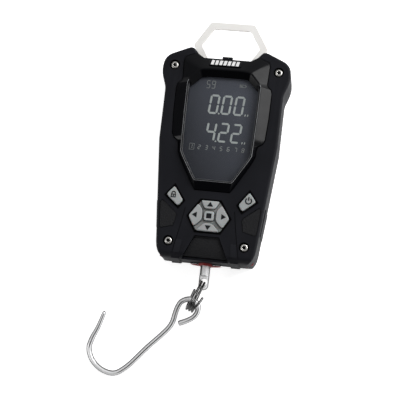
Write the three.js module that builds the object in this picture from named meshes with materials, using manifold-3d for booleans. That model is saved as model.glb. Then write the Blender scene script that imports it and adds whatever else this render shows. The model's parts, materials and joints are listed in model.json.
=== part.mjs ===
// Digital hand-held fish scale: a two-shell case with a faceted display bezel, seven sprung keys, a steel
// hexagon handle, an in-line load cell, and a hook hung from a split ring on a swivelling shaft.
// Millimetres. The scale lies on its back: +Z out of the display, +Y towards the handle, +X to the right.
// The origin is on the flat rear face, midway between the upper and the lower case screws.
import * as THREE from "three";
import { mergeVertices } from "three/addons/utils/BufferGeometryUtils.js";
import Module from "manifold-3d";

const wasm = await Module();
wasm.setup();

// ---- Driving dimensions ----------------------------------------------------------------------------------
const GAP = 0.3; // clearance between neighbouring pieces
const ABOVE = 40; // a height over the whole scale, where cuts from above start
const CASE_DEPTH = 26; // rear face to the flat front face
const SEAM_Z = 14; // height of the joint between the two shells
const WALL = 2.2; // shell wall
const EDGE_R = 1.6; // rounding of the case edges
const TOP_PLATE = 3.8; // thickness of the front shell's face
const RIM_Z = 29; // crest of the bezel around the window
const LENS_Z = 25.5; // outer face of the display window
const LENS_T = 1.1;
const BOARD_Z = 18; // underside of the circuit board
const BOARD_T = 1.6;
const KEY_Z = 27.3; // crown of the keys
const KEY_MAT_Z = 22.4; // underside of the silicone mat below the direction keys
const KEY_MAT_TOP = 25.7; // crest of the mat's ribs between those keys
const KEY_STROKE = 0.8;
const KEY_GAP = 0.75; // between the keys and the case
const SWITCH_TOP = 21.2;
const BADGE_X = -0.8; // middle of the plate above the display
const SCREWS = [[31.4, 54], [-31.4, 54], [-22.3, -53.2], [22.3, -53.2]];
const SCREW_HEAD_R = 2.3;
const SHAFT_R = 3;
const SHAFT_Z = 14; // height of the hook shaft's axis
const EYE_Y = -74; // centre of the cross hole in the shaft's eye
const EYE_R = 2.3; // radius of that hole
const RING_WIRE = 1.45; // split ring: wire diameter, mean radius, pitch of its turns
const RING_R = 9.2;
const RING_PITCH = 1.75;
const RING_START = 0.2; // where the wire starts and ends, in turns from the cross hole
const RING_END = 2.78;
const RING_SPLAY = 1.3; // how far the free end stands off the turn beside it
const RING_HEADING = 21.5; // degrees that the ring is swung from straight down the shaft
const RING_DROOP = 8; // degrees that the ring hangs below the shaft's axis
const RING_ROLL = 10.6; // degrees that the ring leans about its heading
const RING_SIDE = -0.3; // where the ring crosses the shaft's eye
const HOOK_WIRE = 3.2;
const HANDLE_T = 2.4;
const HANDLE_Z = 14.3; // underside of the handle plate
const CELL_R = 5.25; // AAA cell
const CELL_L = 44.5;
const DOOR = { x: 14, y0: 3, y1: 55, t: 1.5 };

// ---- Materials -------------------------------------------------------------------------------------------
function finish(color, roughness, metalness = 0) {
  return new THREE.MeshStandardMaterial({ color, roughness, metalness });
}
const caseRubber = finish(0x28292d, 0.75);
const gripRubber = finish(0x232428, 0.9);
const glossBlack = finish(0x15161a, 0.18);
const smokedGlass = finish(0x3c434b, 0.08);
const keySilicone = finish(0xbfc2c2, 0.6);
const redSilicone = finish(0x9a2a2a, 0.5);
const steel = finish(0xd9dadb, 0.3, 1);
const chrome = finish(0xe6e8ea, 0.08, 1);
const aluminium = finish(0xb9bcc0, 0.4, 1);
const boardGreen = finish(0x1f5a3a, 0.5);
const chipBlack = finish(0x1a1a1c, 0.5);
const whitePlastic = finish(0xe9eaea, 0.5);
const lcdGrey = finish(0x5b636c, 0.3);
const cellJacket = finish(0x3b5c8f, 0.35);

const scale = new THREE.Group();

// ---- Geometry helpers ------------------------------------------------------------------------------------
const rad = THREE.MathUtils.degToRad;

// A closed three.js geometry as a manifold-3d solid, moved by the matrix if one is given.
function solid(geometry, matrix) {
  const bare = (geometry.index ? geometry.toNonIndexed() : geometry).clone();
  bare.deleteAttribute("normal");
  bare.deleteAttribute("uv");
  if (matrix) bare.applyMatrix4(matrix);
  const merged = mergeVertices(bare, 1e-4);
  return new wasm.Manifold(
    new wasm.Mesh({
      numProp: 3,
      vertProperties: new Float32Array(merged.attributes.position.array),
      triVerts: new Uint32Array(merged.index.array),
    }),
  );
}

// Adds one named piece to the scale and returns its mesh.
function piece(name, body, material) {
  const m = body.getMesh();
  const geometry = new THREE.BufferGeometry();
  geometry.setAttribute("position", new THREE.BufferAttribute(new Float32Array(m.vertProperties), 3));
  geometry.setIndex(new THREE.BufferAttribute(new Uint32Array(m.triVerts), 1));
  geometry.computeVertexNormals();
  const mesh = new THREE.Mesh(geometry, material);
  mesh.name = name;
  scale.add(mesh);
  return mesh;
}

function placed(x, y, z, rx = 0, ry = 0, rz = 0) {
  const turn = new THREE.Quaternion().setFromEuler(new THREE.Euler(rad(rx), rad(ry), rad(rz)));
  return new THREE.Matrix4().compose(new THREE.Vector3(x, y, z), turn, new THREE.Vector3(1, 1, 1));
}

// A box between two corners.
function box(x0, x1, y0, y1, z0, z1) {
  const g = new THREE.BoxGeometry(x1 - x0, y1 - y0, z1 - z0);
  return solid(g, placed((x0 + x1) / 2, (y0 + y1) / 2, (z0 + z1) / 2));
}

// A cylinder along Z from z0 to z1; r1 gives a cone.
function post(x, y, z0, z1, r, sides = 24, r1 = r) {
  const g = new THREE.CylinderGeometry(r1, r, z1 - z0, sides);
  return solid(g, placed(x, y, (z0 + z1) / 2, 90));
}

// A cylinder along Y from y0 to y1.
function rod(x, z, y0, y1, r, sides = 24) {
  const g = new THREE.CylinderGeometry(r, r, y1 - y0, sides);
  return solid(g, placed(x, (y0 + y1) / 2, z));
}

// A right-half outline, listed from the bottom to the top, completed by its mirror image.
function mirrored(half) {
  const left = half.filter(([x]) => x > 0).map(([x, ...rest]) => [-x, ...rest]);
  return [...half, ...left.reverse()];
}

// Moves each corner of a counter-clockwise outline along its mitre: a negative distance shrinks it.
function offset(points, distance) {
  return points.map((p, i) => {
    const a = points.at(i - 1);
    const b = points[(i + 1) % points.length];
    const before = new THREE.Vector2(p[1] - a[1], a[0] - p[0]).normalize();
    const after = new THREE.Vector2(b[1] - p[1], p[0] - b[0]).normalize();
    const mitre = before.clone().add(after).normalize();
    const reach = distance / Math.max(mitre.dot(after), 0.5);
    return [p[0] + mitre.x * reach, p[1] + mitre.y * reach];
  });
}

// An outline whose corners are rounded; a corner's third value is its own radius.
function rounded(points, radius = 0) {
  const path = [];
  points.forEach((p, i) => {
    const r = p[2] ?? radius;
    const here = new THREE.Vector2(p[0], p[1]);
    if (!r) return path.push(here.toArray());
    const a = points.at(i - 1);
    const b = points[(i + 1) % points.length];
    const back = new THREE.Vector2(a[0], a[1]).sub(here);
    const ahead = new THREE.Vector2(b[0], b[1]).sub(here);
    const start = here.clone().addScaledVector(back.clone().normalize(), Math.min(r, back.length() * 0.45));
    const end = here.clone().addScaledVector(ahead.clone().normalize(), Math.min(r, ahead.length() * 0.45));
    const arc = new THREE.QuadraticBezierCurve(start, here, end).getPoints(r > 5 ? 6 : 3);
    return path.push(...arc.map((v) => v.toArray()));
  });
  return path;
}

// A solid through a stack of layers, each [height, outline], whose outlines have matching corners.
function stack(layers) {
  const n = layers[0][1].length;
  const corners = layers.flatMap(([z, outline]) => outline.map(([x, y]) => [x, y, z]));
  const last = (layers.length - 1) * n;
  const faces = [];
  const flat = layers[layers.length >> 1][1].map(([x, y]) => new THREE.Vector2(x, y));
  for (const [a, b, c] of THREE.ShapeUtils.triangulateShape(flat, [])) {
    faces.push([a, c, b], [last + a, last + b, last + c]);
  }
  for (let base = 0; base < last; base += n) {
    for (let i = 0; i < n; i++) {
      const j = (i + 1) % n;
      faces.push([base + i, base + j, base + n + j], [base + i, base + n + j, base + n + i]);
    }
  }
  const g = new THREE.BufferGeometry();
  g.setAttribute("position", new THREE.Float32BufferAttribute(faces.flat().flatMap((k) => corners[k]), 3));
  return solid(g);
}

// A solid between a lower and an upper outline.
function loft(lower, z0, upper, z1) {
  return stack([[z0, lower], [z1, upper]]);
}

// An upright prism of an outline; round draws in its upper and lower edges.
function prism(outline, z0, z1, round = 0) {
  if (!round) return stack([[z0, outline], [z1, outline]]);
  const arc = [0, 30, 60, 90].map((a) => [round * (1 - Math.cos(rad(a))), round * (Math.sin(rad(a)) - 1)]);
  return stack([
    ...arc.map(([rise, inset]) => [z0 + rise, offset(outline, inset)]),
    ...arc.reverse().map(([drop, inset]) => [z1 - drop, offset(outline, inset)]),
  ]);
}

// A round wire along a curve.
function wire(curve, radius, steps, sides = 8, matrix = undefined) {
  const corners = Array.from({ length: sides }, (_, i) => {
    const a = (2 * Math.PI * i) / sides;
    return new THREE.Vector2(radius * Math.cos(a), radius * Math.sin(a));
  });
  const g = new THREE.ExtrudeGeometry(new THREE.Shape(corners), { steps, extrudePath: curve });
  return solid(g, matrix);
}

// A prism along X from x0 to x1; its outline is given as [y, z] corners.
function sideways(outline, x0, x1) {
  const shape = new THREE.Shape(outline.map(([y, z]) => new THREE.Vector2(y, z)));
  const turn = new THREE.Matrix4().makeBasis(
    new THREE.Vector3(0, 1, 0),
    new THREE.Vector3(0, 0, 1),
    new THREE.Vector3(1, 0, 0),
  );
  const g = new THREE.ExtrudeGeometry(shape, { depth: x1 - x0, bevelEnabled: false });
  return solid(g, turn.setPosition(x0, 0, 0));
}

// ---- Outlines, each listed up the right-hand side --------------------------------------------------------
const CASE = mirrored([
  [14, -63.6],
  [28.6, -63, 9],
  [30.9, -40],
  [33.8, -10],
  [35.4, 8],
  [35.6, 40, 2],
  [39, 49.5, 6],
  [38.3, 57.2, 3],
  [35.3, 60.8, 2],
  [21.6, 66.9, 2.8],
  [18.2, 62.8],
  [14.2, 60],
]);

// Bezel: foot on the case, then the crest around the window above it.
const BEZEL = [
  [[10.3, -21.6], [11, -16.8]],
  [[12.6, -18.2], [12, -15.8]],
  [[17, -10.4], [15.8, -9.4]],
  [[21, -3.4], [20, -2.4]],
  [[22.8, 1], [21.3, 0.4]],
  [[23, 5], [21.4, 4]],
  [[23.8, 7.4], [21.5, 7]],
  [[26.3, 9], [21.6, 9.5]],
  [[27.6, 11.6], [21.7, 12]],
  [[28.4, 25], [22, 25]],
  [[28.6, 40], [22.2, 40]],
  [[28, 42.4], [22.2, 43]],
  [[26, 44.2], [21.6, 44.6]],
  [[25.4, 46], [20.8, 45.8]],
  [[25.9, 56.6], [16, 51.2]],
  [[25.2, 59.4], [15.2, 51.7]],
  [[18.6, 62.3], [14, 52.2]],
  [[14.2, 59.6], [9, 52.6]],
];
const BEZEL_FOOT = mirrored(BEZEL.map(([foot]) => foot));
const BEZEL_CREST = mirrored(BEZEL.map(([, crest]) => crest));

const WINDOW = mirrored([
  [10.5, -15.4],
  [20.1, 0.8],
  [21, 42.8],
  [14.2, 50.6],
  [7, 51.5],
  [0, 51.8],
]);

// Direction keys around the centre key, and the two keys beside them.
const PAD = mirrored([[7.1, -45.9], [12, -37.5], [5.6, -27.8]]);
const KEYS = {
  up_key: [[-3, -32.6], [3, -32.6], [5.6, -27.8], [-5.6, -27.8]],
  down_key: [[-7, -45.9], [7, -45.9], [2.3, -41.1], [-2.3, -41.1]],
  right_key: [[4.1, -39.4], [8.4, -43.6], [12, -37.5], [6.9, -29.8], [4.1, -33.6]],
  left_key: [[-4.1, -33.6], [-6.9, -29.8], [-12, -37.5], [-8.4, -43.6], [-4.1, -39.4]],
  centre_key: [[-2.9, -39.6], [2.9, -39.6], [2.9, -34], [-2.9, -34]],
  power_key: [[18.95, -32.4], [26.4, -26.1], [22.15, -20.7], [16.35, -28.8]],
  hold_key: [[-16.35, -28.8], [-22.15, -20.7], [-26.4, -26.1], [-18.95, -32.4]],
};
const SIDE_PAD = [
  [19, -37.8],
  [20.4, -44.3],
  [27.4, -46.2],
  [28.6, -45.4],
  [30, -31],
  [28.6, -29],
  [19.9, -36],
];
// The scoop below the keys: its outline, and its profile from the top edge down over the end of the case.
const SCOOP = mirrored([[13.9, -63], [7.2, -48.7]]);
const SCOOP_FLOOR = [[-48.6, CASE_DEPTH], [-50.1, 24.7], [-56.5, 24.6], [-63.2, 22.4]];
// Fine grooves that run from the keys down to the lower end, and the grips on the sides of the case.
const GROOVE = [
  [14.4, -32.8],
  [14.8, -32.8],
  [16.2, -42],
  [17.9, -51],
  [19.8, -62],
  [19.4, -62],
  [17.5, -51],
  [15.8, -42],
].reverse();
const SIDE_GRIP = [[28.8, -46.6], [31, -45], [32.6, -29.2], [30.4, -27.4]];
const mirror = (points) => points.map(([x, y]) => [-x, y]).reverse();
const middle = (points) => [0, 1].map((k) => points.reduce((sum, p) => sum + p[k], 0) / points.length);

// ---- Case shells -----------------------------------------------------------------------------------------
// The whole case before it is split: rounded edges, a drafted bottom end and two ribs over that end.
function caseBlock() {
  const end = -63.6;
  const draft = sideways([
    [end - 9, -1],
    [end + 2.6, -1],
    [end, SEAM_Z],
    [end + 0.9, 22],
    [end + 1.6, 24],
    [end + 3, 25.4],
    [end + 5, CASE_DEPTH + 0.1],
    [end - 9, CASE_DEPTH + 0.1],
  ], -50, 50);
  let block = prism(rounded(CASE), 0, CASE_DEPTH, EDGE_R).subtract(draft);
  for (const side of [1, -1]) {
    const at = (x, y) => [side * x, y];
    const quad = (...corners) => (side > 0 ? corners : corners.reverse());
    const low = quad(at(15.6, -57), at(15.6, -62), at(19.6, -62), at(19.6, -57));
    const waist = quad(at(14.9, -57), at(14.9, -64.3), at(20.1, -64.3), at(20.1, -57));
    const shoulder = quad(at(14.9, -57), at(14.9, -62.9), at(19.8, -62.9), at(19.8, -57));
    const crown = quad(at(14.2, -52), at(15, -59.6), at(19.2, -59.6), at(17.8, -52));
    block = block.add(loft(low, 2, waist, SEAM_Z)).add(loft(waist, SEAM_Z, shoulder, 23.4));
    block = block.add(loft(shoulder, 23.4, crown, CASE_DEPTH + 0.15));
    const grip = prism(side > 0 ? SIDE_GRIP : mirror(SIDE_GRIP), 6, 21.4, 0.5);
    block = block.add(grip);
    const groove = prism(side > 0 ? GROOVE : mirror(GROOVE), CASE_DEPTH - 0.4, CASE_DEPTH + 5);
    block = block.subtract(groove);
  }
  return block;
}
const HANDLE_OUTER = mirrored([[13.5, 55.4], [22.9, 70.8], [13.5, 86.2]]);
const HANDLE_BAR = 4.2;
const handleSlot = prism(
  offset(HANDLE_OUTER, 0.4),
  HANDLE_Z - 0.4,
  HANDLE_Z + HANDLE_T + 0.4,
);
const shaftHole = rod(0, SHAFT_Z, -70, -58, 4.6);
const cavityShape = rounded(offset(CASE, -WALL), 1.5);

// The scoop's volume, its floor lowered by a depth; the outline can be drawn in by a margin.
function scoop(depth, margin = 0, top = ABOVE) {
  const floor = SCOOP_FLOOR.map(([y, z]) => [y + margin * 0.4, z - depth]);
  const roof = [[-70, floor[3][1] - 2], [-70, top], [floor[0][0], top]];
  return sideways([...floor, ...roof], -20, 20).intersect(prism(offset(SCOOP, -margin), 0, top));
}

function frontShell() {
  const plateZ = CASE_DEPTH - TOP_PLATE;
  let shell = caseBlock().intersect(box(-60, 60, -80, 80, SEAM_Z + GAP / 2, ABOVE));
  shell = shell.subtract(prism(cavityShape, SEAM_Z - 1, plateZ));
  for (const [x, y] of SCREWS) {
    shell = shell.add(post(x, y, SEAM_Z + GAP / 2, plateZ + 0.5, 3.3));
    shell = shell.subtract(post(x, y, 0, ABOVE, 1.4)).subtract(post(x, y, CASE_DEPTH - 2.4, ABOVE, 3.1));
  }
  const ledgeZ = CASE_DEPTH - 2;
  shell = shell.subtract(prism(rounded(offset(BEZEL_FOOT, 0.4)), ledgeZ, ABOVE));
  // The notch between the ears, where the bezel runs out over the case.
  shell = shell.subtract(box(-18, 18, 59, 70, ledgeZ, ABOVE));
  shell = shell.subtract(prism(rounded(offset(WINDOW, 2)), 10, ABOVE));
  shell = shell.subtract(prism(rounded(offset(PAD, KEY_GAP)), 10, ABOVE));
  for (const name of ["power_key", "hold_key"]) {
    shell = shell.subtract(prism(rounded(offset(KEYS[name], KEY_GAP)), 10, ABOVE));
  }
  const matRoom = prism(rounded(offset(PAD, 2)), 10, KEY_MAT_Z + 1.3);
  shell = shell.subtract(matRoom);
  for (const pad of [SIDE_PAD, mirror(SIDE_PAD)]) {
    shell = shell.subtract(prism(rounded(pad), CASE_DEPTH - 1.2, ABOVE));
  }
  const backing = box(-14.5, 14.5, -61, -53.5, plateZ - 2.4, plateZ + 0.5);
  shell = shell.add(backing).subtract(scoop(0.9));
  return shell.subtract(handleSlot).subtract(shaftHole);
}
function rearShell() {
  let shell = caseBlock().intersect(box(-60, 60, -80, 80, -1, SEAM_Z - GAP / 2));
  const hollow = prism(cavityShape, WALL, SEAM_Z + 1);
  const bay = box(-13.6, 13.6, DOOR.y0 - 0.4, DOOR.y1 + 0.4, 0, 12.6);
  shell = shell.subtract(hollow.subtract(bay));
  for (const [x, y] of SCREWS) {
    shell = shell.add(post(x, y, 1, SEAM_Z - GAP / 2, 3.3)).subtract(post(x, y, 3.4, 20, 1.3));
  }
  shell = shell.subtract(box(-12, 12, DOOR.y0 + 1.4, DOOR.y1 - 1.4, -1, 20));
  shell = shell.subtract(box(-DOOR.x, DOOR.x, DOOR.y0, DOOR.y1, -1, DOOR.t + GAP));
  return shell.subtract(shaftHole);
}
piece("front_shell", frontShell(), caseRubber);
piece("rear_shell", rearShell(), caseRubber);

function caseSeal() {
  const ring = prism(rounded(offset(CASE, -WALL - GAP), 1.5), 12.4, 15.6).subtract(
    prism(rounded(offset(CASE, -WALL - GAP - 1), 1.5), 10, 18),
  );
  return ring.subtract(handleSlot).subtract(box(-9, 9, -70, -55, 0, 30));
}
piece("case_seal", caseSeal(), redSilicone);

function shaftSeal() {
  const bush = rod(0, SHAFT_Z, -64.6, -60.4, 4.3);
  const crescent = mirrored([[3.4, -64.7], [7, -64.4], [9, -64], [9, -63.9]]);
  const flange = prism(crescent, SHAFT_Z - 1.6, SHAFT_Z + 1.6);
  return bush.add(flange).subtract(rod(0, SHAFT_Z, -80, -50, SHAFT_R + 0.25));
}
piece("shaft_seal", shaftSeal(), redSilicone);

// Textured pads let into the front shell.
function sidePad(outline) {
  return prism(rounded(offset(outline, -GAP)), CASE_DEPTH - 0.9, CASE_DEPTH - 0.1);
}
function lowerPad() {
  const body = scoop(0.6, GAP).subtract(scoop(0.05, 0));
  const end = sideways([[-90, 0], [-60.9, 0], [-60.9, 22.6], [-60.2, ABOVE], [-90, ABOVE]], -30, 30);
  return body.subtract(end);
}
piece("grip_pad_right", sidePad(SIDE_PAD), gripRubber);
piece("grip_pad_left", sidePad(mirror(SIDE_PAD)), gripRubber);
piece("grip_pad_lower", lowerPad(), gripRubber);

// Pan-head screw with a cross recess, its shank running down into the rear shell's boss.
function caseScrew(x, y) {
  const top = CASE_DEPTH - 0.5;
  let screw = post(x, y, 4, top - 1.2, 1, 16).add(post(x, y, top - 1.6, top - 0.5, SCREW_HEAD_R));
  screw = screw.add(post(x, y, top - 0.5, top, SCREW_HEAD_R, 24, SCREW_HEAD_R * 0.72));
  screw = screw.subtract(box(x - 1.4, x + 1.4, y - 0.32, y + 0.32, top - 0.8, top + 1));
  return screw.subtract(box(x - 0.32, x + 0.32, y - 1.4, y + 1.4, top - 0.8, top + 1));
}
const screwNames = ["upper_right", "upper_left", "lower_left", "lower_right"];
SCREWS.forEach(([x, y], i) => piece("case_screw_" + screwNames[i], caseScrew(x, y), steel));

// ---- Display ---------------------------------------------------------------------------------------------
function bezel() {
  const footZ = CASE_DEPTH - 2 + GAP;
  const skirtZ = CASE_DEPTH + 0.3;
  let frame = prism(rounded(BEZEL_FOOT), footZ, skirtZ);
  frame = frame.add(loft(BEZEL_FOOT, skirtZ - 0.01, BEZEL_CREST, RIM_Z));
  frame = frame.add(box(-3.2, 3.2, 58, 61.1, footZ, skirtZ));
  frame = frame.subtract(loft(offset(WINDOW, -0.1), 20, offset(WINDOW, 0.5), RIM_Z + 0.5));
  frame = frame.subtract(prism(rounded(offset(WINDOW, 1.5)), 10, LENS_Z + GAP));
  return frame.subtract(badgeSeat(0.3, 0));
}

// The name plate's place on the sloping top facet, grown by a margin.
function badgeSeat(margin, lift) {
  const slope = THREE.MathUtils.radToDeg(Math.atan2(RIM_Z - CASE_DEPTH - 0.3, 59.6 - 52.8));
  const plate = rounded([[-9.6, -2.1], [9.6, -2.1], [9.6, 2.1], [-9.6, 2.1]].map(([x, y]) => {
    return [x + Math.sign(x) * margin, y + Math.sign(y) * margin, 0.8];
  }));
  const body = prism(plate, 0, 0.6 + 20 * margin);
  return body.transform(placed(BADGE_X, 56.2, 27.4 + lift, -slope).toArray());
}
piece("display_bezel", bezel(), glossBlack);
piece("badge_plate", badgeSeat(0, 0.3), glossBlack);
piece("display_window", prism(rounded(offset(WINDOW, 1.2)), LENS_Z - LENS_T, LENS_Z), smokedGlass);
piece("lcd_panel", prism(rounded(offset(WINDOW, 1.5)), 22.3, 24), lcdGrey);
piece("backlight_plate", prism(rounded(offset(WINDOW, -2.6)), 20, 22), whitePlastic);
piece("lcd_connector", box(-9, 9, -16.4, -14.6, BOARD_Z + BOARD_T + GAP, 22), gripRubber);

// ---- Circuit board and what it carries -------------------------------------------------------------------
function mainBoard() {
  const outline = mirrored([[17.5, -49], [26.5, -38], [29.5, 0], [29.5, 47], [24, 52]]);
  return prism(rounded(outline, 1), BOARD_Z, BOARD_Z + BOARD_T);
}
piece("main_board", mainBoard(), boardGreen);

// A square-bodied chip with chamfered edges under the board.
function chip(x, y, width, length, height) {
  const top = BOARD_Z - GAP;
  const [w, l] = [width / 2, length / 2];
  const outline = [[x - w, y - l], [x + w, y - l], [x + w, y + l], [x - w, y + l]];
  return prism(rounded(outline, 0.4), top - height, top, 0.25);
}
piece("controller_chip", chip(-17, 20, 10, 10, 1.4), chipBlack);
piece("amplifier_chip", chip(14, -20, 4, 5, 1.4), chipBlack);
piece("temperature_sensor", chip(17, -30, 2, 3, 1), chipBlack);
piece("buzzer", post(-19, -14, BOARD_Z - GAP - 3.6, BOARD_Z - GAP, 4.5), chipBlack);

const cap = KEY_MAT_Z + 1.8; // underside of the key caps
function key(outline) {
  const [x, y] = middle(outline);
  const body = prism(rounded(outline, 1.3), cap, KEY_Z, 0.5);
  return body.add(post(x, y, SWITCH_TOP + 1, cap + 0.5, 1.1, 12));
}
function tactSwitch(outline) {
  const [x, y] = middle(outline);
  const base = BOARD_Z + BOARD_T + GAP;
  return box(x - 1.7, x + 1.7, y - 1.7, y + 1.7, base, SWITCH_TOP - 0.4).add(
    post(x, y, base + 0.2, SWITCH_TOP, 1, 12),
  );
}
for (const [name, outline] of Object.entries(KEYS)) {
  piece(name, key(outline), keySilicone);
  piece(name.replace("key", "switch"), tactSwitch(outline), steel);
}

// The mat under the direction keys: a thin sheet with ribs that stand between the caps.
function keyMat() {
  const sheet = cap - KEY_STROKE - GAP;
  let mat = prism(rounded(offset(PAD, 1.6)), KEY_MAT_Z, sheet);
  mat = mat.add(prism(rounded(PAD, 1.3), KEY_MAT_Z, KEY_MAT_TOP, 0.3));
  for (const [name, outline] of Object.entries(KEYS)) {
    if (name === "power_key" || name === "hold_key") continue;
    const [x, y] = middle(outline);
    mat = mat.subtract(prism(rounded(offset(outline, 0.25), 1.3), sheet, ABOVE));
    mat = mat.subtract(post(x, y, 10, 30, 1.45, 12));
  }
  return mat;
}
piece("key_mat", keyMat(), keySilicone);

// ---- Handle, load cell and shaft: the line that carries the load -----------------------------------------
const PIN = { y: -17, r: 1.5 };
function handle() {
  const ring = (outline) => rounded(outline, 1.2);
  const top = HANDLE_Z + HANDLE_T;
  let plate = prism(ring(HANDLE_OUTER), HANDLE_Z, top, 0.3);
  plate = plate.subtract(prism(ring(offset(HANDLE_OUTER, -HANDLE_BAR)), 0, ABOVE));
  plate = plate.add(box(-5, 5, -21, 57, HANDLE_Z, top));
  return plate.subtract(post(0, PIN.y, 0, ABOVE, PIN.r + GAP, 16));
}
piece("handle", handle(), steel);

const CELL = { x: 9, y0: -53, y1: -12, z0: 9, z1: 17.4 };
const SLIT = 1.4;
function loadCell() {
  let block = box(-CELL.x, CELL.x, CELL.y0, CELL.y1, CELL.z0, CELL.z1);
  block = block.subtract(box(-20, 20, -23, 0, HANDLE_Z - GAP, 30));
  block = block.subtract(post(0, PIN.y, 0, ABOVE, PIN.r + GAP, 16));
  // Two slits from opposite sides leave an S whose middle bends around the gauge hole.
  block = block.subtract(box(-20, 4.5, -27 - SLIT, -27, 0, ABOVE));
  block = block.subtract(box(-4.5, 20, -37.4, -37.4 + SLIT, 0, ABOVE));
  block = block.subtract(post(0, -32.2, 0, ABOVE, 2.8));
  // The nut's window, and the bore that the shaft comes up through.
  block = block.subtract(box(-5.5, 5.5, -47.5, -40, 0, ABOVE));
  return block.subtract(rod(0, SHAFT_Z, -60, -44, 2.3));
}
piece("load_cell", loadCell(), aluminium);
piece("strain_gauge", box(4.2, 7.6, -34.4, -30, CELL.z1 + 0.2, CELL.z1 + 0.35), keySilicone);
piece("handle_pin", post(0, PIN.y, CELL.z0 + 0.5, CELL.z1, PIN.r, 16), steel);

function hookShaft() {
  const tab = 3;
  let shaft = rod(0, SHAFT_Z, -70.4, -53.6, SHAFT_R, 28).add(rod(0, SHAFT_Z, -54, -40.6, 1.9));
  const tip = -78.8;
  const eye = rod(0, SHAFT_Z, tip + tab, -70, tab)
    .add(solid(new THREE.SphereGeometry(tab, 20, 12), placed(0, tip + tab, SHAFT_Z)))
    .intersect(box(-5, 5, -90, -60, SHAFT_Z - 2.1, SHAFT_Z + 2.1));
  shaft = shaft.add(eye);
  return shaft.subtract(post(0, EYE_Y, 0, ABOVE, EYE_R, 24));
}
piece("hook_shaft", hookShaft(), chrome);
piece("shaft_washer", rod(0, SHAFT_Z, -47.2, -46.2, 3.6).subtract(rod(0, SHAFT_Z, -60, -30, 2.2)), steel);
piece("shaft_nut", rod(0, SHAFT_Z, -45.9, -42.7, 3.8, 6).subtract(rod(0, SHAFT_Z, -60, -30, 2.2)), steel);

// ---- Split ring and hook ---------------------------------------------------------------------------------
// Close turns of round wire, side by side, centred where they pass the cross hole; the last stretch splays.
class RingTurns extends THREE.Curve {
  getPoint(t, target = new THREE.Vector3()) {
    const turn = THREE.MathUtils.lerp(RING_START, RING_END, t);
    const angle = -2 * Math.PI * turn;
    const splay = RING_SPLAY * THREE.MathUtils.smoothstep(turn, RING_END - 0.17, RING_END);
    return target.set(RING_R * Math.cos(angle), RING_R * Math.sin(angle), RING_PITCH * (turn - 1.5) + splay);
  }
}
// The ring's own axes: x from its centre towards the cross hole, y upright, z across the ring.
function ringFrame() {
  const out = new THREE.Vector3(-Math.sin(rad(RING_HEADING)), -Math.cos(rad(RING_HEADING)), 0);
  const down = Math.sin(rad(RING_DROOP));
  const away = out.clone().multiplyScalar(Math.cos(rad(RING_DROOP))).add(new THREE.Vector3(0, 0, -down));
  const x = away.clone().negate();
  const across = new THREE.Vector3().crossVectors(x, new THREE.Vector3(0, 0, 1)).normalize();
  across.applyAxisAngle(x, rad(RING_ROLL));
  const y = new THREE.Vector3().crossVectors(across, x);
  const centre = new THREE.Vector3(RING_SIDE, EYE_Y, SHAFT_Z).addScaledVector(away, RING_R);
  return new THREE.Matrix4().makeBasis(x, y, across).setPosition(centre);
}
piece("split_ring", wire(new RingTurns(), RING_WIRE / 2, 110, 8, ringFrame()), chrome);

// The hook lies in a plane that rises from its bend, on the ground, to its eye in the ring.
function hookPath() {
  const rise = 7.4 / 63.5;
  const bend = new THREE.Vector2(-52, -131.8);
  const along = new THREE.Vector2(0.693, 0.72).normalize();
  const route = [
    [-58, -95.8], [-60.9, -105.4], [-64.1, -113.2], [-65, -118.7], [-62.2, -125.3], [-55.8, -130.3],
    [-48.3, -131.6], [-41.9, -127.9], [-30, -114.8], [-18.2, -101.9], [-16.2, -97.8], [-15.4, -93.6],
    [-14.4, -89.7], [-12.6, -86.3], [-9.8, -84.6], [-7.3, -84.1], [-4.5, -84.9], [-2.7, -86.6],
    [-2, -89.2], [-2.5, -92], [-4.4, -94.6], [-7.6, -96.7], [-12.6, -98.9],
  ];
  return new THREE.CatmullRomCurve3(route.map(([x, y]) => {
    const up = new THREE.Vector2(x, y).sub(bend).dot(along) * rise;
    return new THREE.Vector3(x, y, HOOK_WIRE / 2 + 0.1 + up);
  }), false, "centripetal");
}
piece("hook", wire(hookPath(), HOOK_WIRE / 2, 84, 10), chrome);

// ---- Batteries -------------------------------------------------------------------------------------------
const CELL_Z = DOOR.t + GAP + CELL_R + 0.1;
const CELL_Y = 7.4; // lower end of both cells
function battery(x, up) {
  const can = rod(x, CELL_Z, CELL_Y, CELL_Y + CELL_L - 1, CELL_R);
  const nub = up ? CELL_Y + CELL_L - 1.2 : CELL_Y - 1;
  return can.add(rod(x, CELL_Z, nub, nub + 1.2, 1.9, 16));
}
piece("battery_left", battery(-5.6, true), cellJacket);
piece("battery_right", battery(5.6, false), cellJacket);

// The door over both cells, with four finger grooves near its upper end.
function batteryDoor() {
  const x = DOOR.x - GAP;
  const y0 = DOOR.y0 + GAP;
  const y1 = DOOR.y1 - GAP;
  let door = prism(rounded([[-x, y0], [x, y0], [x, y1], [-x, y1]], 0.8), 0, DOOR.t);
  for (let i = 0; i < 4; i++) {
    door = door.subtract(box(-6, 6, 44 + 2 * i, 45 + 2 * i, -1, 0.6));
  }
  return door;
}
piece("battery_door", batteryDoor(), caseRubber);

piece("contact_plate_upper", box(-10.8, 10.8, 52.3, 52.7, 3, 11), steel);
piece("contact_plate_lower", box(-10.8, 10.8, 4.8, 5.2, 3, 11), steel);

export default scale;
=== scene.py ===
"""Looks for the hand-held digital fish scale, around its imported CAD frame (metres, +Z out of the display)."""
import json
import math

import bmesh
import bpy
from mathutils import Matrix, Vector


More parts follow.
